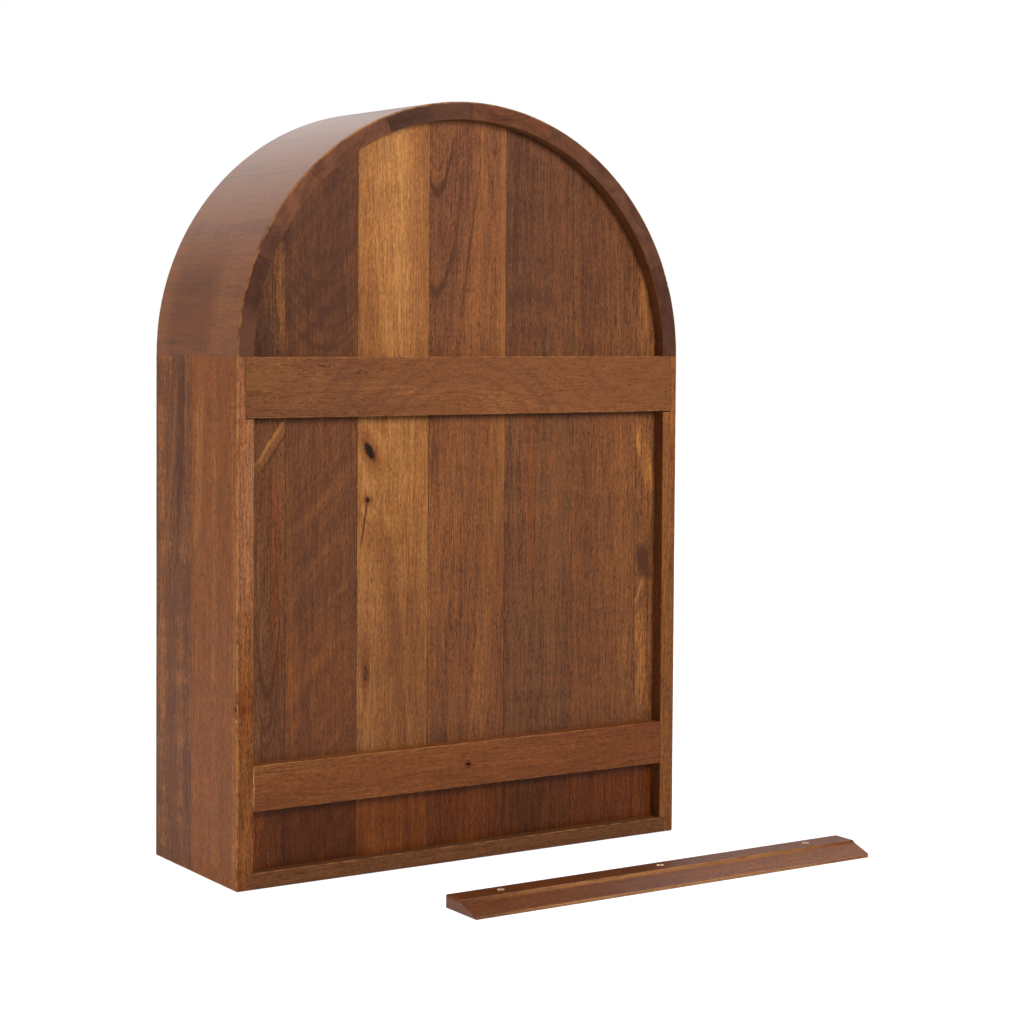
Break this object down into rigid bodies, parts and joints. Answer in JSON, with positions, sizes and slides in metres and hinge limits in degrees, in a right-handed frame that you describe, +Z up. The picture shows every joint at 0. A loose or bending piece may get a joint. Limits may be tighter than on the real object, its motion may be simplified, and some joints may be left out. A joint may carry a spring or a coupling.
{
  "type": "arched wall shelf",
  "caption": "Open wall shelf with a half-round coopered top, fixed shelves, a planked back with rails, and a loose bevelled cleat that it hangs from.",
  "frame": {"origin": "middle of the case's underside, on the floor it stands on", "axes": "+Z up, -Y out of the open front, +Y towards the wall, +X to the right as seen from the open front"},
  "size_m": [0.6035, 0.4036, 0.762],
  "materials": {
    "side_wood": "stained, satin lacquer",
    "arch_wood": "stained, satin lacquer",
    "shelf_wood": "stained, satin lacquer",
    "panel_wood_dark": "stained, satin lacquer",
    "panel_wood_mid": "stained, satin lacquer",
    "panel_wood_golden": "stained, satin lacquer",
    "panel_wood_red": "stained, satin lacquer",
    "rail_wood": "stained, satin lacquer",
    "cleat_wood": "stained, satin lacquer",
    "dowel_wood": "bare hardwood pin"
  },
  "bodies": {
    "case": {"arch_dowels": "dowel_wood", "arch_stave_1": "arch_wood", "arch_stave_2": "arch_wood", "arch_stave_3": "arch_wood", "arch_stave_4": "arch_wood", "arch_stave_5": "arch_wood", "arch_stave_6": "arch_wood", "arch_stave_7": "arch_wood", "arch_stave_8": "arch_wood", "back_plank_1": "panel_wood_red", "back_plank_2": "panel_wood_dark", "back_plank_3": "panel_wood_dark", "back_plank_4": "panel_wood_mid", "back_plank_5": "panel_wood_golden", "back_plank_6": "panel_wood_dark", "back_plank_7": "panel_wood_mid", "bottom_front_board": "shelf_wood", "bottom_rear_board": "shelf_wood", "hanging_rail": "rail_wood", "left_side_front_board": "side_wood", "left_side_rear_board": "side_wood", "lower_rail": "rail_wood", "lower_shelf_front_board": "shelf_wood", "lower_shelf_rear_board": "shelf_wood", "right_side_front_board": "side_wood", "right_side_rear_board": "side_wood", "upper_shelf_front_board": "shelf_wood", "upper_shelf_rear_board": "shelf_wood"},
    "cleat": {"wall_cleat": "cleat_wood"}
  },
  "joints": [
    {"name": "cleat_lift", "type": "slide", "parent": "case", "child": "cleat", "axis": [0, 0, 1], "range_m": [0, 0.4205]}
  ]
}
